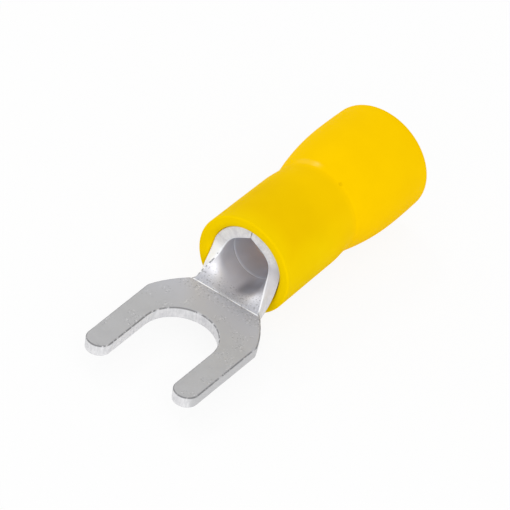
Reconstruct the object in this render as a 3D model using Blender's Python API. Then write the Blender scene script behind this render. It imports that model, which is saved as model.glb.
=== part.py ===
"""Insulated fork terminal: a stamped, rolled metal terminal in a moulded, funnel-ended sleeve.

Metres, +Z up. +X runs from the tips of the fork to the wire end, and the part is the same on both
sides of the XZ plane. The origin is under the middle of the part, level with the lowest point of the
sleeve's bell. A distance along the part is measured from the tips of the fork.
"""

import math

import bmesh
import bpy

MM = 0.001

# Sheet and fork
SHEET = 0.87 * MM
FORK_WIDTH = 9.0 * MM
STUD_SLOT = 5.3 * MM
SLOT_DEPTH = 7.52 * MM
TIP_LENGTH = 0.91 * MM
SHOULDER = 7.49 * MM
SHOULDER_ROUND = 0.3 * MM
FOLD = 10.13 * MM
NECK_WIDTH = 5.7 * MM
SHOULDER_BULGE = 0.17 * MM

# Pressed crease at the neck
CREASE_WIDTH = 0.26 * MM
CREASE_DEPTH = 0.05 * MM

# Cradle and rolled barrel
BORE_RADIUS = 1.83 * MM
CRADLE_LENGTH = 1.87 * MM
BARREL_LENGTH = 6.9 * MM
CURL_EASE = 1.2
CURL_POWER = 1.94
CRADLE_START_WIDTH = 5.34 * MM
CRADLE_END_WIDTH = 9.61 * MM
SEAM_GAP = 0.05 * MM
SEAM_FLAT = math.radians(30)

# Grooves across the bore that bite into the wire
GROOVES = 3
GROOVE_FIRST = 1.24 * MM
GROOVE_PITCH = 2.1 * MM
GROOVE_WIDTH = 0.36 * MM
GROOVE_DEPTH = 0.09 * MM
GROOVE_SIDE = 0.07 * MM

# Insulating sleeve
SLEEVE_LEAD = 0.33 * MM
SLEEVE_LENGTH = 15.93 * MM
SLEEVE_CLEARANCE = 0.06 * MM
SLEEVE_WALL = 0.885 * MM
TUBE_TAPER = 0.075 * MM
MOUTH_CHAMFER = 0.5 * MM
FRONT_ROUND = 0.14 * MM
WAIST_LENGTH = 2.0 * MM
WAIST_AFTER_BARREL = 0.7 * MM
WAIST_RADIUS = 3.43 * MM
BELL_RADIUS = 4.055 * MM
BELL_RISE = 4.9 * MM
RIM_RADIUS = 3.96 * MM
RIM_ROUND = 0.42 * MM
BELL_WALL = 0.75 * MM
THROAT_RADIUS = 1.95 * MM
THROAT_LENGTH = 0.6 * MM
FUNNEL_LENGTH = 3.2 * MM
RIM_INNER_ROUND = 0.15 * MM

# How finely the round shapes are divided
BARREL_COLUMNS = 36
SLEEVE_STEPS = 48
ARC_STEP = math.radians(11.25)
CRADLE_STEP = math.radians(5)
SHOULDER_STEPS = 6
RING_STEPS = 8

# Places that follow from the sizes above
MID_RADIUS = BORE_RADIUS + SHEET / 2
BARREL_RADIUS = BORE_RADIUS + SHEET
BARREL_MOUTH = FOLD + CRADLE_LENGTH
BARREL_END = BARREL_MOUTH + BARREL_LENGTH
SLEEVE_FRONT = BARREL_MOUTH - SLEEVE_LEAD
SLEEVE_END = SLEEVE_FRONT + SLEEVE_LENGTH
SLEEVE_BORE = BARREL_RADIUS + SLEEVE_CLEARANCE
TUBE_RADIUS = SLEEVE_BORE + SLEEVE_WALL
WAIST = BARREL_END + WAIST_AFTER_BARREL
AXIS_ABOVE_TONGUE = BORE_RADIUS
TINE_CENTRE = (FORK_WIDTH + STUD_SLOT) / 4
TINE_HALF = (FORK_WIDTH - STUD_SLOT) / 4
SLOT_CENTRE = SLOT_DEPTH - STUD_SLOT / 2
SLEEVE_HALF_STEP = math.pi / SLEEVE_STEPS
AXIS_HEIGHT = BELL_RADIUS * math.cos(SLEEVE_HALF_STEP)


def clear_scene():
    """Remove whatever the opened file holds."""
    for item in list(bpy.data.objects):
        bpy.data.objects.remove(item, do_unlink=True)


def arc(centre, radii, start, end, step=ARC_STEP):
    """Points on an elliptical arc, both ends included."""
    count = max(2, math.ceil(abs(end - start) / step - 1e-9))
    angles = [start + (end - start) * k / count for k in range(count + 1)]
    return [(centre[0] + radii[0] * math.cos(a), centre[1] + radii[1] * math.sin(a)) for a in angles]


def fillet(before, corner, after, radius):
    """Points of the arc that rounds a corner between two straight lines."""
    into = math.atan2(corner[1] - before[1], corner[0] - before[0])
    out = math.atan2(after[1] - corner[1], after[0] - corner[0])
    turn = math.remainder(out - into, math.tau)
    side = math.copysign(1, turn)
    setback = radius * math.tan(abs(turn) / 2)
    start = (corner[0] - setback * math.cos(into), corner[1] - setback * math.sin(into))
    centre = (start[0] - side * radius * math.sin(into), start[1] + side * radius * math.cos(into))
    first = into - side * math.pi / 2
    return arc(centre, (radius, radius), first, first + turn)


def smooth(t):
    """Ease from 0 to 1."""
    t = min(max(t, 0.0), 1.0)
    return (1 - math.cos(math.pi * t)) / 2


def neck_half(x):
    """Half width of the flat blank where its bulging shoulders run in to the fold."""
    t = (x - SHOULDER) / (FOLD - SHOULDER)
    return FORK_WIDTH / 2 + (NECK_WIDTH - FORK_WIDTH) / 2 * t + 4 * SHOULDER_BULGE * t * (1 - t)


def fork_outline():
    """The tongue's edge from the left end of the neck round both tines to its right end."""
    half = FORK_WIDTH / 2
    neck = FOLD - CREASE_WIDTH / 2
    slopes = [neck + (SHOULDER - neck) * k / SHOULDER_STEPS for k in range(1, SHOULDER_STEPS)]
    shoulder = [(x, neck_half(x)) for x in slopes]
    shoulder += fillet(shoulder[-1], (SHOULDER, half), (TIP_LENGTH, half), SHOULDER_ROUND)
    tip = arc((TIP_LENGTH, TINE_CENTRE), (TIP_LENGTH, TINE_HALF), math.pi / 2, 3 * math.pi / 2)
    slot = arc((SLOT_CENTRE, 0), (STUD_SLOT / 2, STUD_SLOT / 2), math.pi / 2, 0)
    left = shoulder + tip + slot
    return left + [(x, -y) for x, y in left[-2::-1]]


def curl(x):
    """How far the sheet is curled at a distance x, from 0 at the fold to 1 at the barrel's mouth."""
    t = min(max((x - FOLD) / CRADLE_LENGTH, 0.0), 1.0)
    return 1 - (1 - t ** CURL_EASE) ** CURL_POWER


def curl_growth(x):
    """How fast the curl grows along the part, as a share of itself."""
    t = (x - FOLD) / CRADLE_LENGTH
    if not 0 < t < 1:
        return 0.0
    slope = CURL_POWER * (1 - t ** CURL_EASE) ** (CURL_POWER - 1) * CURL_EASE * t ** (CURL_EASE - 1)
    return slope / CRADLE_LENGTH / curl(x)


def mid_radius(x):
    """Radius that the middle of the sheet is rolled to, from flat at the fold to the barrel's."""
    return MID_RADIUS / curl(x) if curl(x) > 1e-6 else math.inf


def half_turn(x):
    """Half of the width that rolls into a closed ring at x."""
    return math.pi * mid_radius(x) - SEAM_GAP / 2


def groove_depth(x):
    """Depth of the grooves across the bore at a distance x."""
    bottom = GROOVE_WIDTH / 2 - GROOVE_SIDE / 2
    return GROOVE_DEPTH if any(abs(x - place) < bottom for place in groove_places()) else 0.0


def crease_depth(x):
    """Depth of the pressed crease across the top of the neck."""
    return CREASE_DEPTH * max(0.0, 1 - abs(x - FOLD) / (CREASE_WIDTH / 2))


def sheet_point(x, across, top):
    """A point of the rolled sheet, at a distance across it from the middle line, on its top or underside.

    Heights are from the top of the tongue. The climb is how steeply the curling sheet rises along the part.
    The underside lies square to that slope, and the top doesn't, so the sheet thins where it climbs.
    """
    radius = mid_radius(x)
    turned, y, rise = 0.0, across, 0.0
    if not math.isinf(radius):
        turned = across / radius
        y = radius * math.sin(turned)
        rise = radius * (1 - math.cos(turned))
    climb = rise * curl_growth(x)
    offset = -SHEET / 2 / math.hypot(1, climb)
    if top:
        from_seam = math.pi - abs(turned)
        peak = 0.0
        if from_seam < SEAM_FLAT:
            peak = BORE_RADIUS * (1 / math.cos(SEAM_FLAT - from_seam) - 1)
        offset = SHEET / 2 - peak - crease_depth(x) - groove_depth(x)
        climb = 0.0
    return (
        x - climb * offset,
        y - math.sin(turned) * offset,
        rise - SHEET / 2 + math.cos(turned) * offset,
    )


def groove_places():
    """Middle of each groove across the bore."""
    return [BARREL_MOUTH + GROOVE_FIRST + k * GROOVE_PITCH for k in range(GROOVES)]


def blank_rows():
    """Rows of the curled sheet, front to back, as (x on the middle line, x at the edge, half width)."""
    front = FOLD - CREASE_WIDTH / 2
    rows = [(front, front, neck_half(front)), (FOLD, FOLD, NECK_WIDTH / 2)]
    start = FOLD + CREASE_WIDTH / 2
    turn = CRADLE_END_WIDTH / 2
    radii = (BARREL_MOUTH - start, turn - CRADLE_START_WIDTH / 2)
    edge = arc((start, turn), radii, -math.pi / 2, 0, CRADLE_STEP)
    rise = half_turn(BARREL_MOUTH) - turn
    edge += [(BARREL_MOUTH, turn + rise * k / RING_STEPS) for k in range(1, RING_STEPS + 1)]
    behind = (BARREL_MOUTH + groove_places()[0] - GROOVE_WIDTH / 2) / 2
    for k, (x, half) in enumerate(edge):
        rows.append((start + (behind - start) * k / (len(edge) - 1), x, half))
    outer = GROOVE_WIDTH / 2
    inner = outer - GROOVE_SIDE
    stations = [place + side for place in groove_places() for side in (-outer, -inner, inner, outer)]
    rows += [(x, x, half_turn(x)) for x in stations + [BARREL_END]]
    return rows


def build_terminal():
    """The stamped fork, its cradle and the rolled barrel, all of one sheet."""
    bm = bmesh.new()
    upper, lower = [], []
    for middle, edge, half in blank_rows():
        for grid, top in ((upper, True), (lower, False)):
            row = []
            for k in range(BARREL_COLUMNS + 1):
                v = 1 - 2 * k / BARREL_COLUMNS
                x = middle + (edge - middle) * v * v
                row.append(bm.verts.new(sheet_point(x, half * v, top)))
            grid.append(row)
    for grid in (upper, lower):
        for a, b in zip(grid, grid[1:]):
            for k in range(BARREL_COLUMNS):
                bm.faces.new((a[k], b[k], b[k + 1], a[k + 1]))
    for side in (0, -1):
        for k in range(len(upper) - 1):
            bm.faces.new((upper[k][side], lower[k][side], lower[k + 1][side], upper[k + 1][side]))
    for k in range(BARREL_COLUMNS):
        bm.faces.new((upper[-1][k], upper[-1][k + 1], lower[-1][k + 1], lower[-1][k]))

    outline = fork_outline()
    rims = []
    for grid, height in ((upper, 0.0), (lower, -SHEET)):
        rim = [bm.verts.new((x, y, height)) for x, y in outline]
        bm.faces.new(rim + grid[0][::-1])
        rims.append([grid[0][0]] + rim + [grid[0][-1]])
    for k in range(len(outline) + 1):
        bm.faces.new((rims[0][k], rims[0][k + 1], rims[1][k + 1], rims[1][k]))
    bmesh.ops.recalc_face_normals(bm, faces=bm.faces)
    return add_object("stamped_terminal", bm)


def sleeve_outside(x):
    """Outer radius of the sleeve at a distance x, before its ends are rounded."""
    waist_start = WAIST - WAIST_LENGTH
    if x < waist_start:
        return TUBE_RADIUS - TUBE_TAPER * (x - SLEEVE_FRONT) / (waist_start - SLEEVE_FRONT)
    if x < WAIST:
        dip = TUBE_RADIUS - TUBE_TAPER - WAIST_RADIUS
        return WAIST_RADIUS + dip * (1 - smooth((x - waist_start) / WAIST_LENGTH))
    swell = WAIST + BELL_RISE
    if x < swell:
        return BELL_RADIUS - (BELL_RADIUS - WAIST_RADIUS) * ((swell - x) / BELL_RISE) ** 2
    return BELL_RADIUS - (BELL_RADIUS - RIM_RADIUS) * ((x - swell) / (SLEEVE_END - swell)) ** 2


def sleeve_profile():
    """The sleeve's section as (radius, distance), from the wire end down its outside and back inside."""
    points = []
    rim = SLEEVE_END - RIM_ROUND
    rim_radius = sleeve_outside(rim)
    points += arc((rim_radius - RIM_ROUND, rim), (RIM_ROUND, RIM_ROUND), math.pi / 2, 0, math.radians(22.5))
    stations = 16
    front = SLEEVE_FRONT + FRONT_ROUND
    for k in range(1, stations):
        x = rim + (WAIST - WAIST_LENGTH - rim) * k / stations
        points.append((sleeve_outside(x), x))
    points.append((sleeve_outside(WAIST - WAIST_LENGTH), WAIST - WAIST_LENGTH))
    front_radius = sleeve_outside(front)
    points += arc((front_radius - FRONT_ROUND, front), (FRONT_ROUND, FRONT_ROUND), 0, -math.pi / 2,
                  math.radians(30))
    points.append((SLEEVE_BORE + MOUTH_CHAMFER, SLEEVE_FRONT))
    points.append((SLEEVE_BORE, SLEEVE_FRONT + MOUTH_CHAMFER))
    stop = BARREL_END + SLEEVE_CLEARANCE
    points.append((SLEEVE_BORE, stop))
    points.append((THROAT_RADIUS, stop))
    points.append((THROAT_RADIUS, stop + THROAT_LENGTH))
    funnel = stop + THROAT_LENGTH + FUNNEL_LENGTH
    points.append((sleeve_outside(funnel) - BELL_WALL, funnel))
    inside = 4
    end = SLEEVE_END - RIM_INNER_ROUND
    for k in range(1, inside + 1):
        x = funnel + (end - funnel) * k / inside
        points.append((sleeve_outside(x) - BELL_WALL, x))
    points.append((sleeve_outside(end) - BELL_WALL + RIM_INNER_ROUND, SLEEVE_END))
    return points


def build_sleeve():
    """The moulded sleeve, turned about its own Z axis, front end down, with the middle of a facet at +X."""
    bm = bmesh.new()
    cosine, sine = math.cos(SLEEVE_HALF_STEP), math.sin(SLEEVE_HALF_STEP)
    verts = [bm.verts.new((radius * cosine, radius * sine, x)) for radius, x in sleeve_profile()]
    edges = [bm.edges.new(pair) for pair in zip(verts, verts[1:] + verts[:1])]
    bmesh.ops.spin(bm, geom=verts + edges, cent=(0, 0, 0), axis=(0, 0, 1), angle=math.tau,
                   steps=SLEEVE_STEPS, use_merge=True, use_duplicate=False)
    bmesh.ops.recalc_face_normals(bm, faces=bm.faces)
    return add_object("insulating_sleeve", bm)


def add_object(name, bm):
    """Link a mesh to the scene, smooth where its faces meet gently."""
    mesh = bpy.data.meshes.new(name)
    bm.to_mesh(mesh)
    bm.free()
    mesh.shade_smooth()
    mesh.set_sharp_from_angle(angle=math.radians(35))
    item = bpy.data.objects.new(name, mesh)
    bpy.context.collection.objects.link(item)
    return item


def add_material(item, name, colour, metallic, roughness):
    """Give an object a plain Principled material."""
    material = bpy.data.materials.new(name)
    material.use_nodes = True
    shader = material.node_tree.nodes["Principled BSDF"]
    shader.inputs["Base Color"].default_value = (*colour, 1)
    shader.inputs["Metallic"].default_value = metallic
    shader.inputs["Roughness"].default_value = roughness
    item.data.materials.append(material)


def main():
    clear_scene()
    terminal = build_terminal()
    terminal.location = (-SLEEVE_END / 2, 0, AXIS_HEIGHT - AXIS_ABOVE_TONGUE)
    sleeve = build_sleeve()
    sleeve.parent = terminal
    sleeve.location = (0, 0, AXIS_ABOVE_TONGUE)
    sleeve.rotation_euler = (0, math.pi / 2, 0)
    add_material(terminal, "tin_plate", (0.56, 0.56, 0.57), 0.9, 0.34)
    add_material(sleeve, "yellow_vinyl", (0.94, 0.6, 0.002), 0.0, 0.42)


main()
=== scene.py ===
"""Looks of an insulated fork terminal: a stamped, tin-plated terminal in a yellow vinyl sleeve.

Sizes in the classes are in millimetres, and the meshes are made in metres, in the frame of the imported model:
+X from the fork's tips to the wire end, +Z up. A distance along the part is measured from the fork's tips.
"""

import logging
import math
from collections.abc import Callable
from dataclasses import dataclass
from enum import Enum
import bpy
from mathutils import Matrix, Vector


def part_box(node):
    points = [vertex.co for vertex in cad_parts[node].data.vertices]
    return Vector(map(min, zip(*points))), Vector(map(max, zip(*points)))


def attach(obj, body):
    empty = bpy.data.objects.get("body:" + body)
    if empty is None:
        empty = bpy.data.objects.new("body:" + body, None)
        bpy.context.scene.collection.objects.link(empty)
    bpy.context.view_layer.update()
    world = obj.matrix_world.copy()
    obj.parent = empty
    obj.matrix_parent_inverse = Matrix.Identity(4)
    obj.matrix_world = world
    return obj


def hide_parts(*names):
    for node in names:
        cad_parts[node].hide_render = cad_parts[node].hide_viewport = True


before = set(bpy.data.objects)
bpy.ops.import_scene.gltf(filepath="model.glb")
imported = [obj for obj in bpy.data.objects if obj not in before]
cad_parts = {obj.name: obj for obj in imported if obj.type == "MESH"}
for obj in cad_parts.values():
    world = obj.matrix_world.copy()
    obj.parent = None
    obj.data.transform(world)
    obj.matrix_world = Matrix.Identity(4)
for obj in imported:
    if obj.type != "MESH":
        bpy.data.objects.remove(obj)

from types import SimpleNamespace

import bmesh
import bpy
from bmesh.types import BMesh
from bpy.types import ID, Material, Mesh, NodeSocket, NodeTree, Object
from mathutils import Quaternion, Vector, noise

MM = 0.001
BODY = "root"
WHITE = (1.0, 1.0, 1.0, 1.0)
LOG = logging.getLogger("fork_terminal")

Point = tuple[float, float]
Span = tuple[float, float]
Triple = tuple[float, float, float]
Colour = tuple[float, float, float]
SOCKETS = {int: "Int", float: "Float", tuple: "Vector", Material: "Material"}
VECTOR_ON_POINTS = {"data_type": "FLOAT_VECTOR", "domain": "POINT"}


class Layer(Enum):
    """The attributes that the terminal's mesh carries for its finish."""

    BLANK = "blank"
    CUT = "cut"
    LIP = "lip"


def operators(operation: str) -> tuple[Callable, Callable]:
    """Return the method for an operator with a term on its left, and the one with a number on its left."""

    def forward(term: "Term", other: "Term | float") -> "Term":
        """Return the operation's result for this term and another."""
        return term.apply(operation, other)

    def reflected(term: "Term", number: float) -> "Term":
        """Return the operation's result for a number and this term."""
        return term.graph.add("ShaderNodeMath", {"operation": operation}, {0: number, 1: term})

    return forward, reflected


class Term:
    """A node's output that takes part in Python arithmetic, which adds a Math node for each operator."""

    def __init__(self, graph: "Graph", socket: NodeSocket) -> None:
        """Wrap a socket of the graph's tree."""
        self.graph = graph
        self.socket = socket

    def apply(self, operation: str, *others: "Term | float") -> "Term":
        """Return the result of a Math node whose operands are this term and then the others."""
        return self.graph.add("ShaderNodeMath", {"operation": operation}, dict(enumerate((self, *others))))

    __add__, __radd__ = operators("ADD")
    __sub__, __rsub__ = operators("SUBTRACT")
    __mul__, __rmul__ = operators("MULTIPLY")
    __truediv__, __rtruediv__ = operators("DIVIDE")

    def clamped(self) -> "Term":
        """Return this term held between 0 and 1."""
        return self.apply("MAXIMUM", 0.0).apply("MINIMUM", 1.0)

    def parts(self) -> tuple["Term", "Term", "Term"]:
        """Return the three components of this vector."""
        node = self.graph.add("ShaderNodeSeparateXYZ", inputs={0: self}).socket.node
        return tuple(Term(self.graph, socket) for socket in node.outputs)


class Graph:
    """A node tree that is filled with terms."""

    def __init__(self, tree: NodeTree) -> None:
        """Work in this tree."""
        self.tree = tree

    @staticmethod
    def pick(sockets: bpy.types.bpy_prop_collection, key: str | int) -> NodeSocket:
        """Return the socket with this index, identifier or name."""
        if isinstance(key, int):
            return sockets[key]
        for socket in sockets:
            if key == socket.identifier:
                return socket
        return next(socket for socket in sockets if key == socket.name and socket.enabled)

    def add(
        self,
        kind: str,
        settings: dict[str, object] | None = None,
        inputs: dict[str | int, object] | None = None,
        output: str | int = 0,
    ) -> Term:
        """Add any node.

        Args:
            kind: The node's type.
            settings: The node's own properties, set first.
            inputs: A value, a term or nothing for each input socket, by index, identifier or name.
            output: The output socket wanted.

        Returns:
            That output as a term.
        """
        node = self.tree.nodes.new(kind)
        for name, value in (settings or {}).items():
            setattr(node, name, value)
        for key, value in (inputs or {}).items():
            socket = self.pick(node.inputs, key)
            if isinstance(value, Term):
                self.tree.links.new(value.socket, socket)
            else:
                socket.default_value = value
        return Term(self, self.pick(node.outputs, output) if node.outputs else None)

    def attribute(self, layer: Layer, output: str) -> Term:
        """Return what the mesh carries in a layer."""
        return self.add("ShaderNodeAttribute", {"attribute_name": layer.value}, output=output)

    def mix_colours(self, factor: "Term | float", low: "Term | Colour", high: "Term | Colour") -> Term:
        """Return a colour between two, by a factor from 0 to 1."""
        low, high = ((*c, 1.0) if isinstance(c, tuple) else c for c in (low, high))
        inputs = {"Factor_Float": factor, "A_Color": low, "B_Color": high}
        return self.add("ShaderNodeMix", {"data_type": "RGBA"}, inputs, "Result_Color")

    def stretched(self, vector: Term, factors: Triple) -> Term:
        """Return a vector with each component multiplied by its own factor."""
        return self.add("ShaderNodeVectorMath", {"operation": "MULTIPLY"}, {0: vector, 1: factors})

    def in_millimetres(self, vector: Term) -> tuple[Term, Term, Term]:
        """Return the three components of a place that is in metres, each in millimetres."""
        return self.stretched(vector, (1 / MM,) * 3).parts()

    def ramp(self, value: Term, low: float, high: float) -> Term:
        """Return 0 where a value is below low, 1 where it is above high, and a smooth step between."""
        settings = {"interpolation_type": "SMOOTHSTEP"}
        return self.add("ShaderNodeMapRange", settings, {"Value": value, "From Min": low, "From Max": high})

    def past(self, value: Term, place: float, span: Span) -> Term:
        """Return 0 before a span that is measured from a place, 1 after it, and a smooth step over it."""
        return self.ramp(value, place + span[0], place + span[1])

    def near(self, value: Term, place: float, span: Span) -> Term:
        """Return 1 close to a place, 0 far from it, and a smooth step over a span of distances from it."""
        return 1 - self.ramp((value - place).apply("ABSOLUTE"), *span)

    def end_material(self, inputs: dict[str, object], relief: Term, strength: float, reach: float) -> None:
        """Close a material with one shader, bumped by a relief in which 1 stands for a reach in metres."""
        bump = self.add("ShaderNodeBump", inputs={"Strength": strength, "Distance": reach, "Height": relief})
        shader = self.add("ShaderNodeBsdfPrincipled", inputs={**inputs, "Normal": bump})
        self.add("ShaderNodeOutputMaterial", inputs={"Surface": shader})


@dataclass(frozen=True)
class Pattern:
    """A noise over a place in metres.

    Stretch multiplies the place's components, and span holds the noise values between which a mask rises.
    """

    scale: float
    detail: float = 2.0
    roughness: float = 0.5
    stretch: Triple | None = None
    span: Span = (0.0, 1.0)

    def noise(self, graph: Graph, place: Term) -> Term:
        """Return the noise, from 0 to 1."""
        if self.stretch:
            place = graph.stretched(place, self.stretch)
        inputs = {"Vector": place, "Scale": self.scale, "Detail": self.detail, "Roughness": self.roughness}
        return graph.add("ShaderNodeTexNoise", inputs=inputs)

    def mask(self, graph: Graph, place: Term) -> Term:
        """Return the noise cut to a mask."""
        return graph.ramp(self.noise(graph, place), *self.span)


def new_material(name: str) -> tuple[Material, Graph]:
    """Return an empty node material and its graph."""
    material = bpy.data.materials.new(name)
    material.use_nodes = True
    material.node_tree.nodes.clear()
    return material, Graph(material.node_tree)


@dataclass(frozen=True)
class SheetZones:
    """Where the tones of the sheet change on the flat blank, in millimetres.

    The crease, the barrel's mouth and the first groove lie along it, and the fork's side lies across it.
    A span whose name ends in scuff, line or flank reaches to both sides of its place. Any other span is
    measured from the crease, the mouth, the fork's side, the top face or the blank's middle.
    """

    fold: float
    mouth: float
    groove: float
    side: float
    neck_start: float = 0.55
    curl_done: float = 0.7
    curl: Span = (0.0, 0.3)
    crease_scuff: Span = (0.5, 1.5)
    scuffs_end: Span = (-0.3, 0.0)
    crease_highlight_line: Span = (0.03, 0.06)
    crease_gap: Span = (0.1, 0.6)
    groove_highlight_line: Span = (0.02, 0.06)
    bore: Span = (0.0, 1.2)
    deep_bore_painted_light: Span = (0.0, 4.0)
    inner_face: Span = (-0.4, -0.1)
    fork_side: Span = (-0.3, -0.1)
    left_middle: float = 3.35
    left_flank: Span = (0.3, 0.8)
    right_middle: float = -3.685
    right_flank: Span = (0.5, 1.2)
    mirror_side: Span = (-0.3, 0.5)
    mirror_end: Span = (-0.1, 1.2)
    crescent: Span = (0.6, 1.3)
    dark_dashes_side: Span = (0.0, 1.0)
    dark_dashes_end: Span = (-0.5, -0.1)

    def masks(self, graph: Graph, blank: Term) -> SimpleNamespace:
        """Return the masks of the zones by name, over a place on the flat blank in metres."""
        near, past, ramp = graph.near, graph.past, graph.ramp
        along, across, height = graph.in_millimetres(blank)
        fold, mouth = self.fold, self.mouth
        aside = across.apply("ABSOLUTE")
        curled = past(along, fold, self.curl)
        bore = past(along, mouth, self.bore) * past(height, 0.0, self.inner_face)
        mirror = ramp(-1.0 * across, *self.mirror_side) * (1 - past(along, mouth, self.mirror_end))
        dark_lip_dashes = ramp(across, *self.dark_dashes_side) * (1 - past(along, mouth, self.dark_dashes_end))
        return SimpleNamespace(
            neck=ramp(along, self.neck_start * fold, fold),
            curled=curled,
            rolled=ramp(along, fold, fold + self.curl_done * (mouth - fold)),
            creased=near(along, fold, self.crease_scuff),
            before_bore=1 - past(along, mouth, self.scuffs_end),
            crease=near(along, fold, self.crease_highlight_line),
            off_middle=ramp(aside, *self.crease_gap),
            groove=near(along, self.groove, self.groove_highlight_line) * bore,
            bore=bore,
            deep_bore_painted_light=bore * past(along, mouth, self.deep_bore_painted_light),
            outer=past(aside, self.side, self.fork_side) * (1 - curled),
            left=curled * near(across, self.left_middle, self.left_flank),
            right=curled * near(across, self.right_middle, self.right_flank),
            mirror=mirror,
            crescent=mirror * past(along, fold, self.crescent),
            dark_lip_dashes=dark_lip_dashes * curled,
        )


@dataclass(frozen=True)
class TinPlate:
    """Satin tin plating, scuffed by the neck and brighter on sheared edges, with painted highlights on the
    crease and the cradle's lips.

    The right half of the cradle is the most metallic. Names that end in share say how much of a colour a mask
    brings in, and names that end in relief say how much a pattern raises or lowers the surface.
    """

    plated: Colour = (0.437, 0.436, 0.441)
    mottle: Colour = (0.407, 0.406, 0.411)
    neck_painted_light: Colour = (0.472, 0.478, 0.52)
    pitted: Colour = (0.24, 0.24, 0.25)
    curled: Colour = (0.78, 0.775, 0.815)
    cut: Colour = (0.78, 0.775, 0.79)
    streak: Colour = (0.66, 0.66, 0.675)
    outer_side_shade: Colour = (0.55, 0.55, 0.56)
    smeared_and_shaded: Colour = (0.52, 0.51, 0.545)
    fork_lip_dark_reflection: Colour = (0.13, 0.13, 0.135)
    painted_highlight: Colour = (0.93, 0.945, 0.97)
    dark_lip_dashes: Colour = (0.16, 0.16, 0.17)
    bore: Colour = (0.7, 0.7, 0.735)
    deep_bore_painted_light: Colour = (0.84, 0.885, 0.98)
    shaded: Colour = (0.52, 0.515, 0.545)
    metallic: float = 0.2
    curled_metallic: float = 0.5
    mirror_metallic: float = 0.8
    roughness: float = 0.42
    curled_roughness: float = 0.38
    cut_roughness: float = 0.5
    uneven_roughness: float = 0.12
    clouds: Pattern = Pattern(900.0, 3.0)
    grain: Pattern = Pattern(14000.0)
    drawing: Pattern = Pattern(2600.0, 3.0, stretch=(1.0, 9.0, 9.0))
    drag: Pattern = Pattern(5200.0, 3.0, 0.6, (1.0, 1.0, 0.3), (0.35, 0.68))
    clusters: Pattern = Pattern(520.0, span=(0.5, 0.62))
    specks: Pattern = Pattern(5200.0, 2.0, 0.65, span=(0.56, 0.66))
    pits: Pattern = Pattern(7600.0, 1.0, 0.5, (1.3, 0.8, 1.0), (0.59, 0.67))
    patches: Pattern = Pattern(1500.0, 4.0, 0.7, span=(0.46, 0.66))
    lip_dash_pattern: Pattern = Pattern(3600.0, 2.0, 0.5, (1.0, 0.6, 0.6), (0.46, 0.52))
    dashes: Pattern = Pattern(2600.0, 3.0, 0.65, span=(0.36, 0.48))
    breaks: Pattern = Pattern(900.0, 1.0, 0.5, (0.0, 1.0, 0.0), (0.4, 0.5))
    cloud_share: float = 0.6
    tone: Span = (0.35, 0.7)
    speck_share: float = 0.45
    pit_share: float = 0.7
    crease_highlight_share: float = 0.3
    drag_loss: float = 0.3
    patch_share: float = 0.3
    curled_patch_share: float = 0.2
    right_shade_share: float = 0.8
    lip_reflection_share: float = 0.9
    grain_relief: float = 0.35
    drawing_relief: float = 0.3
    drag_relief: float = 0.6
    pit_relief: float = 0.8
    bump_strength: float = 0.4
    bump_reach: float = 0.006

    def build(self, zones: SheetZones) -> Material:
        """Return the material, which reads the layers of the terminal's mesh.

        Args:
            zones: Where the tones change.

        Returns:
            The material.
        """
        material, graph = new_material("satin_tin_plating")
        blank = graph.attribute(Layer.BLANK, "Vector")
        cut, lip = (graph.attribute(layer, "Fac") for layer in (Layer.CUT, Layer.LIP))
        zone = zones.masks(graph, blank)
        noises = (self.clouds, self.grain, self.drawing, self.drag)
        clouds, grain, drawn, streaks = (pattern.noise(graph, blank) for pattern in noises)
        masks = (self.clusters, self.specks, self.pits, self.patches, self.lip_dash_pattern, self.dashes, self.breaks)
        clusters, specks, pits, patches, lip_dash_pattern, dashes, breaks = (p.mask(graph, blank) for p in masks)
        scuffed = (clusters + zone.creased).clamped() * zone.before_bore
        pits = pits * scuffed
        mix = graph.mix_colours

        tone = graph.ramp(clouds * self.cloud_share + drawn * (1 - self.cloud_share), *self.tone)
        face = mix(tone, self.plated, self.mottle)
        # Painted light: the plating is lighter and bluer toward the neck, offsetting the sleeve's darker, warm
        # reflection there.
        face = mix(zone.neck, face, self.neck_painted_light)
        face = mix(zone.rolled, face, self.curled)
        face = mix(specks * scuffed * self.speck_share, face, self.cut)
        face = mix(pits * self.pit_share, face, self.pitted)
        face = mix(zone.bore, face, self.bore)
        # Painted light: the bore is lighter and bluer deeper in, standing in for light that reaches it and
        # offsetting the yellow bounce light.
        face = mix(zone.deep_bore_painted_light, face, self.deep_bore_painted_light)
        # Painted shade: a dark crescent on the cradle's floor before the mouth, standing in for the dark
        # reflection of the barrel's roof; the higher metallic there also reflects it for real.
        face = mix(zone.crescent, face, self.shaded)
        # Painted highlight: a thin bright line along the crease, broken off the middle, and another along the
        # first groove.
        unbroken = self.crease_highlight_share + breaks * zone.off_middle * (1 - self.crease_highlight_share)
        face = mix(zone.crease * unbroken + zone.groove, face, self.painted_highlight)

        drag = graph.ramp(streaks, *self.drag.span) * (1 - self.drag_loss * zone.curled)
        edge = mix(drag, self.cut, self.streak)
        # Painted shade: the fork's outer sheared sides are darkened.
        edge = mix(zone.outer, edge, self.outer_side_shade)
        edge = mix(patches * (self.patch_share + self.curled_patch_share * zone.curled), edge, self.smeared_and_shaded)
        # Painted shade: the right flank of the cradle's sheared edge is darkened with the smeared colour.
        edge = mix(zone.right * self.right_shade_share, edge, self.smeared_and_shaded)
        # Painted highlight on the left flank of the cradle's sheared edge.
        edge = mix(zone.left, edge, self.painted_highlight)

        colour = mix(cut, face, edge)
        # Painted reflection on the rounded lips: dark dashes along the fork's lips, and a painted highlight
        # along the cradle's lips.
        lip_reflection = mix(zone.curled, self.fork_lip_dark_reflection, self.painted_highlight)
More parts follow.
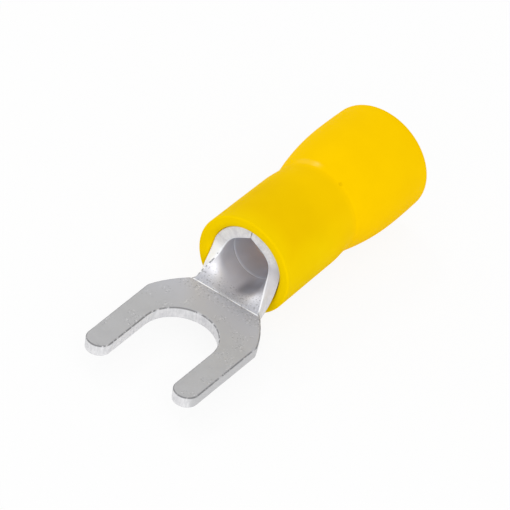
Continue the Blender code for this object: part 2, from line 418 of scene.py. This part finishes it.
        # Darker dashes along the left half of the cradle's lip.
        lip_reflection = mix(lip_dash_pattern * zone.dark_lip_dashes, lip_reflection, self.dark_lip_dashes)
        colour = mix(lip * (dashes + zone.curled).clamped() * self.lip_reflection_share, colour, lip_reflection)

        shine = zone.rolled * (1 - cut)
        roughness = self.roughness - shine * (self.roughness - self.curled_roughness)
        roughness = roughness + cut * (self.cut_roughness - self.roughness)
        metallic = self.metallic + shine * (self.curled_metallic - self.metallic)
        inputs = {
            "Base Color": colour,
            "Metallic": metallic + shine * zone.mirror * (self.mirror_metallic - self.curled_metallic),
            "Roughness": roughness + (clouds - 0.5) * self.uneven_roughness,
        }
        relief = grain * self.grain_relief + drawn * self.drawing_relief * (1 - cut)
        relief = relief + streaks * cut * self.drag_relief - pits * self.pit_relief
        graph.end_material(inputs, relief, self.bump_strength, self.bump_reach * MM)
        return material


@dataclass(frozen=True)
class YellowVinyl:
    """Smooth moulded vinyl, deeper in colour over the barrel, painted lighter at its front end and on the
    tube's flanks, glossy behind the waist, with one small mark.

    Spans and places are in millimetres, along the part or across it.
    """

    painted_light_lemon: Colour = (0.9, 0.615, 0.0)
    over_barrel: Colour = (0.855, 0.547, 0.0)
    hollow: Colour = (0.965, 0.605, 0.0)
    cloudy: Colour = (0.6, 0.3, 0.0)
    marked: Colour = (0.5, 0.26, 0.0)
    front: Span = (11.6, 13.6)
    lit_flanks: Span = (2.4, 3.6)
    thinning: Span = (15.0, 19.6)
    waist: Span = (19.2, 19.8)
    waist_share: float = 0.35
    clouds: Pattern = Pattern(420.0, span=(0.3, 0.7))
    cloud_share: float = 0.06
    gloss_middle: Point = (20.0, 1.1)
    gloss_along: Span = (0.09, 0.3)
    gloss_across: Span = (0.3, 1.3)
    gloss_coat: float = 0.35
    coat_roughness: float = 0.25
    mark: Triple = (19.9, -1.58, 7.1)
    mark_reach: Span = (0.06, 0.2)
    mark_share: float = 0.25
    mark_relief: float = 6.0
    roughness: float = 0.5
    uneven_roughness: float = 0.1
    specular: float = 0.005
    grain: Pattern = Pattern(9000.0)
    grain_relief: float = 0.3
    bump_strength: float = 0.3
    bump_reach: float = 0.01

    def build(self, tips: float) -> Material:
        """Return the material, given where the fork's tips are on the X axis, in metres."""
        material, graph = new_material("moulded_yellow_vinyl")
        place = graph.add("ShaderNodeTexCoord", output="Object")
        x, across, _ = graph.in_millimetres(place)
        along = x - tips / MM
        clouds = self.clouds.noise(graph, place)
        mix = graph.mix_colours

        # Painted light: the tube's front end and flanks are lighter, where front light and floor bounce fall
        # on them.
        ends = 1 - graph.ramp(along, *self.front)
        ends = ends.apply("MAXIMUM", graph.ramp(across.apply("ABSOLUTE"), *self.lit_flanks))
        hollow = graph.ramp(along, *self.thinning) * (1 - self.waist_share)
        hollow = hollow + graph.ramp(along, *self.waist) * self.waist_share
        shade = mix(hollow, mix(ends, self.over_barrel, self.painted_light_lemon), self.hollow)
        clouded = mix(self.cloud_share, shade, self.cloudy)
        colour = mix(graph.ramp(clouds, *self.clouds.span), shade, clouded)

        glossy = graph.near(along, self.gloss_middle[0], self.gloss_along)
        glossy = glossy * graph.near(across, self.gloss_middle[1], self.gloss_across)
        mark = (tips + self.mark[0] * MM, self.mark[1] * MM, self.mark[2] * MM)
        off = graph.add("ShaderNodeVectorMath", {"operation": "DISTANCE"}, {0: place, 1: mark}, "Value")
        dimple = 1 - graph.ramp(off / MM, *self.mark_reach)
        inputs = {
            "Base Color": mix(dimple * self.mark_share, colour, self.marked),
            "Roughness": self.roughness + (clouds - 0.5) * self.uneven_roughness,
            "Specular IOR Level": self.specular,
            "Coat Weight": glossy * self.gloss_coat,
            "Coat Roughness": self.coat_roughness,
        }
        relief = self.grain.noise(graph, place) * self.grain_relief + clouds - dimple * self.mark_relief
        graph.end_material(inputs, relief, self.bump_strength, self.bump_reach * MM)
        return material


@dataclass(frozen=True)
class PaperFloor:
    """White paper that shows as the plain background and keeps the object's soft shadow."""

    white: float = 0.9
    lift: float = 0.9

    def build(self) -> Material:
        """Return the material. Part of its white is its own light where it is seen, directly or reflected."""
        material, graph = new_material("white_paper")
        paper = graph.add("ShaderNodeBsdfDiffuse", inputs={"Color": (self.white,) * 3 + (1.0,)})
        glow = graph.add("ShaderNodeEmission", inputs={"Color": WHITE, "Strength": 1.0})
        share = seen_by_eye(graph) * self.lift
        mixed = graph.add("ShaderNodeMixShader", inputs={0: share, 1: paper, 2: glow})
        graph.add("ShaderNodeOutputMaterial", inputs={"Surface": mixed})
        return material


def seen_by_eye(graph: Graph) -> Term:
    """Return 1 for a ray from the camera, a reflection or glass, and 0 for one that only lights."""
    names = ("Is Camera Ray", "Is Glossy Ray", "Is Transmission Ray")
    camera, glossy, glass = (graph.add("ShaderNodeLightPath", output=name) for name in names)
    return camera.apply("MAXIMUM", glossy).apply("MAXIMUM", glass)


def arc(centre: Point, radii: Point, start: float, end: float, step: float) -> list[Point]:
    """Points on an elliptical arc.

    Args:
        centre: Middle of the ellipse.
        radii: Its two half axes.
        start: First angle, in degrees.
        end: Last angle, in degrees.
        step: Longest stretch of the arc between two points.

    Returns:
        The points, both ends included.
    """
    length = math.radians(abs(end - start)) * max(radii)
    count = max(2, math.ceil(length / step))
    angles = [math.radians(start + (end - start) * k / count) for k in range(count + 1)]
    return [(centre[0] + radii[0] * math.cos(a), centre[1] + radii[1] * math.sin(a)) for a in angles]


def fillet(before: Point, corner: Point, after: Point, radius: float, step: float) -> list[Point]:
    """Points of the arc that rounds a corner between two straight lines.

    Args:
        before: A point on the line into the corner.
        corner: The corner.
        after: A point on the line out of it.
        radius: Radius of the rounding.
        step: Longest stretch of the arc between two points.

    Returns:
        The points, both ends included.
    """
    into = math.atan2(corner[1] - before[1], corner[0] - before[0])
    out = math.atan2(after[1] - corner[1], after[0] - corner[0])
    turn = math.remainder(out - into, math.tau)
    side = math.copysign(1, turn)
    setback = radius * math.tan(abs(turn) / 2)
    start = (corner[0] - setback * math.cos(into), corner[1] - setback * math.sin(into))
    centre = (start[0] - side * radius * math.sin(into), start[1] + side * radius * math.cos(into))
    first = math.degrees(into) - side * 90
    return arc(centre, (radius, radius), first, first + math.degrees(turn), step)


def subdivided(points: list[Point], step: float) -> list[Point]:
    """Return a closed outline with points added so that none are further apart than a step."""
    result = []
    for a, b in zip(points, points[1:] + points[:1]):
        count = max(1, math.ceil(math.dist(a, b) / step))
        result += [(a[0] + (b[0] - a[0]) * k / count, a[1] + (b[1] - a[1]) * k / count) for k in range(count)]
    return result


def inward_normals(points: list[Point], least: float = 0.5) -> list[Point]:
    """Return, for each point of a closed outline that runs clockwise, the direction of its inset.

    Its length is such that both neighbouring sides move in by 1, or less at a corner sharper than least.
    """
    normals = []
    for before, here, after in zip(points[-1:] + points[:-1], points, points[1:] + points[:1]):
        a = (Vector(here) - Vector(before)).normalized()
        b = (Vector(after) - Vector(here)).normalized()
        middle = Vector((a.y + b.y, -a.x - b.x)).normalized()
        spread = max(least, middle.dot(Vector((a.y, -a.x))))
        normals.append((middle.x / spread, middle.y / spread))
    return normals


def filled_mesh(name: str, bm: BMesh) -> Mesh:
    """Return a new mesh with what a bmesh holds, and free the bmesh."""
    mesh = bpy.data.meshes.new(name)
    bm.to_mesh(mesh)
    bm.free()
    return mesh


def linked(name: str, data: ID) -> Object:
    """Return a new object of the scene that holds some data."""
    item = bpy.data.objects.new(name, data)
    bpy.context.scene.collection.objects.link(item)
    return item


def shaped(name: str, bm: BMesh, tree: NodeTree, values: dict[str, object]) -> Object:
    """Shape a mesh with a Geometry Nodes group, and turn it into a plain mesh object.

    Args:
        name: The piece's name.
        bm: The mesh, which is freed.
        tree: The node group.
        values: A value for each of the group's inputs, by name.

    Returns:
        The piece, at the origin, smooth, with its normals pointing out.
    """
    source = linked(tree.name, filled_mesh(tree.name, bm))
    modifier = source.modifiers.new(tree.name, "NODES")
    modifier.node_group = tree
    keys = {s.name: s.identifier for s in tree.interface.items_tree if s.in_out == "INPUT"}
    for label, value in values.items():
        modifier[keys[label]] = value
    graph = bpy.context.evaluated_depsgraph_get()
    mesh = bpy.data.meshes.new_from_object(source.evaluated_get(graph), depsgraph=graph)
    mesh.name = name
    bpy.data.objects.remove(source)
    bm = bmesh.new()
    bm.from_mesh(mesh)
    bmesh.ops.recalc_face_normals(bm, faces=bm.faces)
    if bm.calc_volume(signed=True) < 0:
        bmesh.ops.reverse_faces(bm, faces=bm.faces)
    bm.to_mesh(mesh)
    bm.free()
    mesh.shade_smooth()
    return linked(name, mesh)


def new_tree(name: str, values: dict[str, object]) -> tuple[Graph, dict[str, Term]]:
    """Start a Geometry Nodes group.

    Args:
        name: The group's name.
        values: The values that the group will be given, by the names of its inputs.

    Returns:
        The graph, and its inputs as terms by name.
    """
    tree = bpy.data.node_groups.new(name, "GeometryNodeTree")
    for side in ("INPUT", "OUTPUT"):
        tree.interface.new_socket("Geometry", in_out=side, socket_type="NodeSocketGeometry")
    for label, value in values.items():
        kind = "NodeSocket" + SOCKETS[type(value)]
        tree.interface.new_socket(label, in_out="INPUT", socket_type=kind)
    graph = Graph(tree)
    node = tree.nodes.new("NodeGroupInput")
    return graph, {s.name: Term(graph, s) for s in node.outputs if s.name}


def end_tree(graph: Graph, geometry: Term, material: Term) -> NodeTree:
    """Close a Geometry Nodes group with real geometry that has its material, and return it."""
    real = graph.add("GeometryNodeRealizeInstances", inputs={"Geometry": geometry})
    dressed = graph.add("GeometryNodeSetMaterial", inputs={"Geometry": real, "Material": material})
    graph.add("NodeGroupOutput", inputs={0: dressed})
    return graph.tree


@dataclass
class StampedTerminal:
    """The fork, its creased neck, the cradle and the rolled barrel, all of one sheet.

    The blank is made flat, with sheared and rounded edges, and a node group then rolls it. Burnish and
    fracture rows are shares of the sheet.
    """

    sheet: float = 0.87
    fork_width: float = 9.0
    stud_slot: float = 5.3
    slot_depth: float = 7.52
    tip_length: float = 0.91
    shoulder: float = 7.49
    shoulder_round: float = 0.3
    shoulder_bulge: float = 0.17
    neck_steps: int = 24
    neck_join: int = 3
    fold: float = 10.13
    neck_width: float = 5.7
    crease_width: float = 0.26
    crease_depth: float = 0.05
    bore_radius: float = 1.83
    cradle_length: float = 1.87
    barrel_length: float = 6.9
    curl_ease: float = 1.2
    curl_power: float = 1.94
    cradle_start_width: float = 5.34
    cradle_end_width: float = 9.61
    seam_gap: float = 0.02
    seam_corner: float = 0.08
    corner_steps: int = 3
    seam_flat: float = 30.0
    grooves: int = 3
    groove_first: float = 1.24
    groove_pitch: float = 2.1
    groove_width: float = 0.16
    groove_depth: float = 0.04
    groove_side: float = 0.07
    lip_radius: float = 0.11
    lip_steps: int = 4
    burr_radius: float = 0.05
    burr_steps: int = 3
    burr_lip: float = 0.5
    burnish: float = 0.42
    fracture_rows: Span = (0.49, 0.75)
    fracture_inset: float = 0.018
    tear: float = 0.012
    tear_scale: float = 9.0
    tear_drag: float = 0.15
    fine_tear: float = 0.5
    fine_tear_scale: float = 25.0
    support: float = 0.05
    waviness: float = 0.008
    waves: Pattern = Pattern(380.0, 1.0)
    edge_step: float = 0.07
    curl_step: float = 0.09
    flat_step: float = 0.45
    least_gap: float = 0.45
    slack: float = 0.001
    weld: float = 1e-6
    least_curl: float = 0.0001
    least_bend: float = 0.001
    finish: TinPlate = TinPlate()

    @property
    def barrel_mouth(self) -> float:
        """Distance of the barrel's front edge."""
        return self.fold + self.cradle_length

    @property
    def barrel_end(self) -> float:
        """Distance of the barrel's rear edge."""
        return self.barrel_mouth + self.barrel_length

    @property
    def half_turn(self) -> float:
        """Half of the width that rolls into the barrel's closed ring."""
        return math.pi * (self.bore_radius + self.sheet / 2) - self.seam_gap / 2

    def neck_half(self, x: float) -> float:
        """Return half of the blank's width where its bulging shoulder runs in to the fold."""
        t = (x - self.shoulder) / (self.fold - self.shoulder)
        half = self.fork_width / 2
        return half + (self.neck_width / 2 - half) * t + 4 * self.shoulder_bulge * t * (1 - t)

    def half_outline(self) -> list[Point]:
        """Return the left half of the blank's outline, from the slot's bottom round the tine to the rear."""
        step = self.edge_step
        half = self.fork_width / 2
        slot_half = self.stud_slot / 2
        tine_centre = (half + slot_half) / 2
        points = arc((self.slot_depth - slot_half, 0), (slot_half, slot_half), 0, 90, step)
        tip_radii = (self.tip_length, (half - slot_half) / 2)
        points += arc((self.tip_length, tine_centre), tip_radii, 270, 90, step)
        crease = self.crease_width / 2
        run = self.fold - crease - self.shoulder
        slopes = [self.shoulder + run * k / self.neck_steps for k in range(1, self.neck_steps + 1)]
        neck = [(x, self.neck_half(x)) for x in slopes[self.neck_join:]]
        points += fillet((self.tip_length, half), (self.shoulder, half), neck[0], self.shoulder_round, step)
        points += neck + [(self.fold, self.neck_width / 2)]
        start = (self.fold + crease, self.cradle_start_width / 2)
        end = (self.barrel_mouth, self.cradle_end_width / 2)
        points += arc((start[0], end[1]), (end[0] - start[0], end[1] - start[1]), 270, 360, step)
        front, rear = (self.barrel_mouth, self.half_turn), (self.barrel_end, self.half_turn)
        fine = self.seam_corner / self.corner_steps
        points += fillet(end, front, rear, self.seam_corner, fine)
        points += fillet(front, rear, (self.barrel_end, 0), self.seam_corner, fine)
        return points + [(self.barrel_end, 0)]

    def section(self) -> list[tuple[float, float, float, float]]:
        """Return the sheared edge's section, top to bottom, as (inset, depth, cut, lip).

        Cut is 1 on the sheared wall and 0 on the sheet's faces, and lip is 1 on the rounding.
        """
        lip, burr, sheet, deep = self.lip_radius, self.burr_radius, self.sheet, self.fracture_inset
        rows = [(lip + self.support, 0.0, 0.0, 0.0)]
        for k in range(self.lip_steps + 1):
            share = k / self.lip_steps
            a = math.radians(90 * share)
            rows.append((lip * (1 - math.sin(a)), lip * (1 - math.cos(a)), share, math.sin(2 * a)))
        rows.append((0.0, sheet * self.burnish, 1.0, 0.0))
        rows += [(deep, sheet * share, 1.0, 0.0) for share in self.fracture_rows]
        for k in range(self.burr_steps + 1):
            share = 1 - k / self.burr_steps
            a = math.radians(90 * share)
            inset = deep + burr * (1 - math.sin(a))
            rows.append((inset, sheet - burr * (1 - math.cos(a)), share, self.burr_lip * math.sin(2 * a)))
        return rows + [(deep + burr + self.support, sheet, 0.0, 0.0)]

    def torn_away(self, x: float, y: float, depth: float) -> float:
        """Return how much is torn out of the fractured band at a point."""
        rough = noise.noise(Vector((x, y, depth * self.tear_drag)) * self.tear_scale)
        rough += self.fine_tear * noise.noise(Vector((x, y, depth)) * self.fine_tear_scale)
        return self.tear * max(0.0, rough)

    def flat_blank(self) -> BMesh:
        """Return the flat blank as one closed mesh, in metres, cut finely where it will be rolled."""
        left = self.half_outline()
        outline = subdivided(left + [(x, -y) for x, y in left[-2:0:-1]], self.edge_step)
        normals = inward_normals(outline)
        bm = bmesh.new()
        cut_layer, lip_layer = (bm.verts.layers.float.new(layer.value) for layer in (Layer.CUT, Layer.LIP))
        rings = []
        for inset, depth, cut, lip in self.section():
            fractured = cut == 1.0 and depth > self.sheet * self.burnish
            ring = []
            for (x, y), (nx, ny) in zip(outline, normals):
                move = inset + (self.torn_away(x, y, depth) if fractured else 0.0)
                vert = bm.verts.new(((x + nx * move) * MM, (y + ny * move) * MM, -depth * MM))
                vert[cut_layer] = cut
                vert[lip_layer] = lip
                ring.append(vert)
            rings.append(ring)
        for upper, lower in zip(rings, rings[1:]):
            for k in range(len(outline)):
                bm.faces.new((upper[k - 1], upper[k], lower[k], lower[k - 1]))
        bm.faces.new(rings[0][::-1])
        bm.faces.new(rings[-1])
        self._cut_for_rolling(bm)
        return bm

    def _cut_for_rolling(self, bm: BMesh) -> None:
        """Cut the blank along straight lines, coarse over the fork and fine over the cradle and barrel."""
        start = self.fold - self.crease_width
        self._slice(bm, 0, [start])
        self._slice(bm, 0, [k * self.flat_step for k in range(1, math.ceil(start / self.flat_step))])
        across = math.ceil(self.half_turn / self.curl_step)
        self._slice(bm, 1, [k * self.curl_step for k in range(-across, across + 1)], low=start)
        wide = math.ceil(self.fork_width / 2 / self.flat_step)
        self._slice(bm, 1, [k * self.flat_step for k in range(-wide, wide + 1)], high=start)
        crease = self.crease_width / 2
        places = [self.fold + crease * share for share in (-1.0, -0.5, 0.0, 0.5, 1.0)]
        side = self.groove_width / 2
        inner = side - self.groove_side
        for k in range(self.grooves):
            middle = self.barrel_mouth + self.groove_first + k * self.groove_pitch
            places += [middle - side, middle - inner, middle, middle + inner, middle + side]
        count = math.ceil((self.barrel_end - start) / self.curl_step)
        for k in range(1, count):
            x = start + (self.barrel_end - start) * k / count
            if min(abs(x - place) for place in places) > self.curl_step * self.least_gap:
                places.append(x)
        self._slice(bm, 0, sorted(places), low=start)

    def _slice(
        self, bm: BMesh, axis: int, places: list[float], low: float = -math.inf, high: float = math.inf
    ) -> None:
        """Cut the faces that lie between two distances along the blank with planes across an axis."""
        normal = Vector((axis == 0, axis == 1, 0))
        for place in places:
            near = []
            for face in bm.faces:
                along = [vert.co.x / MM for vert in face.verts]
                side = [vert.co[axis] / MM - place for vert in face.verts]
                inside = low - self.slack < min(along) and max(along) < high + self.slack
                if inside and min(side) < 0 < max(side):
                    near.append(face)
            edges = {edge for face in near for edge in face.edges}
            verts = {vert for face in near for vert in face.verts}
            cut = {"geom": [*verts, *edges, *near], "plane_co": normal * place * MM, "plane_no": normal}
            bmesh.ops.bisect_plane(bm, dist=self.weld, **cut)

    def rolling_tree(self, values: dict[str, object]) -> NodeTree:
        """Return the node group that rolls a flat blank, with an input for each value."""
        graph, given = new_tree("roll_the_blank", values)
        flat = graph.add("GeometryNodeInputPosition")
        inputs = {"Geometry": given["Geometry"], "Name": Layer.BLANK.value, "Value": flat}
        stored = graph.add("GeometryNodeStoreNamedAttribute", VECTOR_ON_POINTS, inputs)
        x, across, height = flat.parts()
        sheet, bore = given["Sheet"], given["Bore Radius"]
        ease, power = given["Curl Ease"], given["Curl Power"]
        run = ((x - given["Fold"]) / given["Cradle Length"]).clamped()
        left = 1 - run.apply("POWER", ease)
        curl = 1 - left.apply("POWER", power)
        slope = left.apply("POWER", power - 1) * run.apply("POWER", ease - 1) * power * ease
        growth = slope / given["Cradle Length"] / curl.apply("MAXIMUM", self.least_curl)
        bend = (curl / (bore + sheet / 2)).apply("MAXIMUM", self.least_bend)
        turned = across * bend
        sine, cosine = turned.apply("SINE"), turned.apply("COSINE")
        half_sine = (turned * 0.5).apply("SINE")
        rise = half_sine * half_sine * 2 / bend
        climb = rise * growth

        past = (given["Seam Flat"] - (math.pi - turned.apply("ABSOLUTE"))).apply("MAXIMUM", 0.0)
        peak = bore * (1 / past.apply("COSINE") - 1)
        off_fold = (x - given["Fold"]).apply("ABSOLUTE")
        crease = (1 - off_fold * 2 / given["Crease Width"]).apply("MAXIMUM", 0.0)
        which = ((x - given["First Groove"]) / given["Groove Pitch"]).apply("ROUND")
        which = which.apply("MAXIMUM", 0.0).apply("MINIMUM", given["Last Groove"])
        aside = (x - given["First Groove"] - which * given["Groove Pitch"]).apply("ABSOLUTE")
        groove = ((given["Groove Width"] / 2 - aside) / given["Groove Side"]).clamped()
        hollow = peak + crease * given["Crease Depth"] + groove * given["Groove Depth"]
        wave = (self.waves.noise(graph, flat) - 0.5) * given["Waviness"]

        def surface(offset: Term, shift: Term | float) -> Term:
            """Return where a point at an offset from the sheet's middle goes, shifted along the part."""
            y, z = sine / bend - sine * offset, rise - sheet / 2 + cosine * offset
            return graph.add("ShaderNodeCombineXYZ", inputs={0: x + shift, 1: y, 2: z})

        square = sheet / 2 / (1 + climb * climb).apply("SQRT")
        top = surface(sheet / 2 - hollow + wave, 0.0)
        underside = surface(wave - square, climb * square)
        inputs = {"Factor_Float": 0 - height / sheet, "A_Vector": top, "B_Vector": underside}
        rolled = graph.add("ShaderNodeMix", {"data_type": "VECTOR"}, inputs, "Result_Vector")
        placed = graph.add("ShaderNodeVectorMath", {"operation": "ADD"}, {0: rolled, 1: given["Place"]})
        moved = graph.add("GeometryNodeSetPosition", inputs={"Geometry": stored, "Position": placed})
        return end_tree(graph, moved, given["Material"])

    def build(self) -> Object:
        """Return the terminal as a plain mesh, in its place in the frame, with its finish."""
        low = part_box("stamped_terminal")[0]
        groove = self.barrel_mouth + self.groove_first
        zones = SheetZones(self.fold, self.barrel_mouth, groove, self.fork_width / 2)
        lengths = (
            "sheet", "fold", "cradle_length", "bore_radius", "crease_width", "crease_depth", "groove_pitch",
            "groove_width", "groove_side", "groove_depth", "waviness",
        )
        values = {
            **{name.replace("_", " ").title(): getattr(self, name) * MM for name in lengths},
            "First Groove": groove * MM,
            "Curl Ease": self.curl_ease,
            "Curl Power": self.curl_power,
            "Seam Flat": math.radians(self.seam_flat),
            "Last Groove": self.grooves - 1.0,
            "Place": (low.x, 0.0, low.z + self.sheet * MM),
            "Material": self.finish.build(zones),
        }
        return shaped("rolled_terminal", self.flat_blank(), self.rolling_tree(values), values)


@dataclass
class InsulatingSleeve:
    """The moulded sleeve: a tube over the barrel, a waist and a bell with a funnel inside."""

    length: float = 15.93
    front: float = 11.67
    bore: float = 2.725
    tube_radius: float = 3.645
    tube_taper: float = 0.075
    mouth_round: float = 0.5
    front_round: float = 0.14
    waist: float = 19.8
    waist_length: float = 2.0
    waist_radius: float = 3.43
    ridge_height: float = 0.012
    ridge_reach: float = 0.25
    bell_radius: float = 4.05
    bell_rise: float = 4.7
    rim_radius: float = 3.96
    rim_round: float = 0.42
    bell_wall: float = 0.75
    stop: float = 18.96
    throat_radius: float = 1.95
    throat_length: float = 0.6
    funnel_length: float = 3.2
    rim_inner_round: float = 0.15
    waviness: float = 0.02
    waves: Pattern = Pattern(260.0, 1.0, stretch=(1.0, 0.003, 0.003))
    profile_step: float = 0.1
    long_steps: int = 3
    round_steps: int = 3
    mouth_steps: int = 5
    steps: int = 160
    slack: float = 0.001
    weld: float = 1e-7
    finish: YellowVinyl = YellowVinyl()

    @property
    def end(self) -> float:
        """Distance of the wire end."""
        return self.front + self.length

    def outside(self, x: float) -> float:
        """Return the outer radius at a distance x, before the ends are rounded."""
        waist_start = self.waist - self.waist_length
        if x < waist_start:
            return self.tube_radius - self.tube_taper * (x - self.front) / (waist_start - self.front)
        if x < self.waist:
            dip = self.tube_radius - self.tube_taper - self.waist_radius
            ease = (1 - math.cos(math.pi * (x - waist_start) / self.waist_length)) / 2
            return self.waist_radius + dip * (1 - ease)
        swell = self.waist + self.bell_rise
        if x < swell:
            off = min(1.0, (x - self.waist) / self.ridge_reach / 2)
            ridge = self.ridge_height * math.sin(math.pi * off) ** 2
            slope = (self.bell_radius - self.waist_radius) * ((swell - x) / self.bell_rise) ** 2
            return self.bell_radius - slope + ridge
        fall = self.bell_radius - self.rim_radius
        return self.bell_radius - fall * ((x - swell) / (self.end - swell)) ** 2

    def profile(self) -> list[Point]:
        """Return the closed section as (distance, radius), from the wire end along the outside and back."""
        step = self.profile_step
        rim = self.end - self.rim_round
        points = arc((rim, self.outside(rim) - self.rim_round), (self.rim_round,) * 2, 0, 90, step / 2)
        front = self.front + self.front_round
        count = math.ceil((rim - front) / step)
        points += [(x, self.outside(x)) for x in (rim + (front - rim) * k / count for k in range(1, count))]
        centre = (front, self.outside(front) - self.front_round)
        points += arc(centre, (self.front_round,) * 2, 90, 180, self.front_round / self.round_steps)
        centre = (self.front + self.mouth_round, self.bore + self.mouth_round)
        points += arc(centre, (self.mouth_round,) * 2, 180, 270, self.mouth_round / self.mouth_steps)
        throat_end = self.stop + self.throat_length
        points += [(self.stop, self.bore), (self.stop, self.throat_radius), (throat_end, self.throat_radius)]
        funnel = throat_end + self.funnel_length
        end = self.end - self.rim_inner_round
        count = math.ceil((end - funnel) / step)
        places = [funnel + (end - funnel) * k / count for k in range(count)]
        points += [(x, self.outside(x) - self.bell_wall) for x in places]
        inner = self.outside(end) - self.bell_wall
        centre = (end, inner + self.rim_inner_round)
        points += arc(centre, (self.rim_inner_round,) * 2, 270, 360, self.rim_inner_round / self.round_steps)
        return points

    def turning_tree(self, values: dict[str, object]) -> NodeTree:
        """Return the node group that turns a profile into a closed wall, with an input for each value."""
        graph, given = new_tree("turn_the_profile", values)
        columns = given["Steps"] + 1
        grid = graph.add(
            "GeometryNodeMeshGrid", inputs={"Vertices X": given["Stations"] + 1, "Vertices Y": columns}
        )
        index = graph.add("GeometryNodeInputIndex")
        station = (index / columns + self.slack).apply("FLOOR")
        angle = (index - station * columns) * math.tau / given["Steps"]
        station = station.apply("MODULO", given["Stations"])
        position = graph.add("GeometryNodeInputPosition")
        inputs = {"Geometry": given["Geometry"], "Value": position, "Index": station}
        sample = graph.add("GeometryNodeSampleIndex", VECTOR_ON_POINTS, inputs)
        x, _, radius = sample.parts()
        sine, cosine = angle.apply("SINE"), angle.apply("COSINE")
        rounds = graph.add("ShaderNodeCombineXYZ", inputs={0: x, 1: sine, 2: cosine})
        radius = radius - self.waves.noise(graph, rounds) * given["Waviness"]
        turned = graph.add("ShaderNodeCombineXYZ", inputs={0: x, 1: radius * sine, 2: radius * cosine})
        placed = graph.add("ShaderNodeVectorMath", {"operation": "ADD"}, {0: turned, 1: given["Place"]})
        moved = graph.add("GeometryNodeSetPosition", inputs={"Geometry": grid, "Position": placed})
        welded = graph.add("GeometryNodeMergeByDistance", inputs={"Geometry": moved, "Distance": self.weld})
        return end_tree(graph, welded, given["Material"])

    def build(self, tips: float) -> Object:
        """Return the sleeve in its place in the frame, with its finish, given the X of the fork's tips."""
        low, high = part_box("insulating_sleeve")
        points = subdivided(self.profile(), self.long_steps * self.profile_step)
        bm = bmesh.new()
        for x, radius in points:
            bm.verts.new((x * MM, 0, radius * MM))
        values = {
            "Stations": len(points),
            "Steps": self.steps,
            "Waviness": self.waviness * MM,
            "Place": (high.x - self.end * MM, 0.0, (low.z + high.z) / 2),
            "Material": self.finish.build(tips),
        }
        return shaped("moulded_sleeve", bm, self.turning_tree(values), values)


@dataclass(frozen=True)
class SoftBox:
    """A soft light that looks at the part's middle."""

    name: str
    azimuth: float
    elevation: float
    distance: float
    width: float
    height: float
    radiance: float

    def place(self, aim: Triple) -> None:
        """Add the light, facing a point."""
        data = bpy.data.lights.new(self.name, "AREA")
        data.shape = "RECTANGLE"
        data.size, data.size_y = self.width, self.height
        data.energy = self.radiance * math.pi * self.width * self.height
        aimed(self.name, data, aim, (self.azimuth, self.elevation), self.distance)


def aimed(name: str, data: ID, aim: Triple, angles: Point, distance: float) -> Object:
    """Return a new light or camera that looks at a point.

    The angles are its azimuth and elevation from there, in degrees. Azimuth 0 looks along +Y.
    """
    a, e = (math.radians(angle) for angle in angles)
    back = Vector((math.sin(a) * math.cos(e), -math.cos(a) * math.cos(e), math.sin(e)))
    item = linked(name, data)
    item.location = Vector(aim) + back * distance
    item.rotation_mode = "QUATERNION"
    item.rotation_quaternion = (-back).to_track_quat("-Z", "Y")
    return item


@dataclass(frozen=True)
class Studio:
    """Paper floor, even white surroundings, soft boxes and the camera."""

    floor_size: float = 4.0
    fill: float = 0.78
    boxes: tuple[SoftBox, ...] = (
        SoftBox("front_strip", 326.0, 33.0, 0.55, 0.2, 0.5, 2.0),
        SoftBox("left_box", 285.0, 12.0, 0.6, 0.4, 0.4, 1.1),
        SoftBox("back_box", 185.0, 25.0, 0.6, 0.4, 0.4, 0.8),
        SoftBox("back_strip", 150.0, 49.0, 0.6, 0.05, 0.1, 20.0),
    )
    azimuth: float = 299.088
    elevation: float = 40.092
    roll: float = 10.552
    distance: float = 0.530023
    aim: Triple = (-0.000389, 0.000222, 0.003725)
    lens: float = 564.71
    clip: Span = (0.05, 10.0)
    paper: PaperFloor = PaperFloor()

    def build(self) -> None:
        """Make everything that isn't the object."""
        self._lay_floor()
        self._light_world()
        for box in self.boxes:
            box.place(self.aim)
        self._place_camera()
        bpy.context.scene.view_settings.view_transform = "Standard"

    def _lay_floor(self) -> None:
        """Lay the paper on which the part stands."""
        bm = bmesh.new()
        bmesh.ops.create_grid(bm, x_segments=1, y_segments=1, size=self.floor_size / 2)
        mesh = filled_mesh("paper_floor", bm)
        mesh.materials.append(self.paper.build())
        floor = linked("paper_floor", mesh)

    def _light_world(self) -> None:
        """Surround the part with white, which lights at the fill's strength and is seen at full strength."""
        world = bpy.data.worlds.new("white_surroundings")
        world.use_nodes = True
        world.node_tree.nodes.clear()
        graph = Graph(world.node_tree)
        strength = self.fill + seen_by_eye(graph) * (1 - self.fill)
        white = graph.add("ShaderNodeBackground", inputs={"Color": WHITE, "Strength": strength})
        graph.add("ShaderNodeOutputWorld", inputs={"Surface": white})
        bpy.context.scene.world = world

    def _place_camera(self) -> None:
        """Set the camera where the photograph was taken from."""
        data = bpy.data.cameras.new("camera")
        data.lens = self.lens
        data.clip_start, data.clip_end = self.clip
        camera = aimed("camera", data, self.aim, (self.azimuth, self.elevation), self.distance)
        roll = Quaternion((0, 0, 1), math.radians(self.roll))
        camera.rotation_quaternion = camera.rotation_quaternion @ roll
        bpy.context.scene.camera = camera


def ride(piece: Object, node: str) -> None:
    """Put a piece in the place of a node of the frame, and report it."""
    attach(piece, BODY)
    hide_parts(node)
    LOG.info("%s: %d faces, in the place of %s", piece.name, len(piece.data.polygons), node)


def main() -> None:
    """Build the part and the studio."""
    logging.basicConfig(level=logging.INFO, format="%(name)s: %(message)s")
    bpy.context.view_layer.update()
    ride(StampedTerminal().build(), "stamped_terminal")
    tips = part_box("stamped_terminal")[0].x
    ride(InsulatingSleeve().build(tips), "insulating_sleeve")
    Studio().build()


if __name__ == "__main__":
    main()
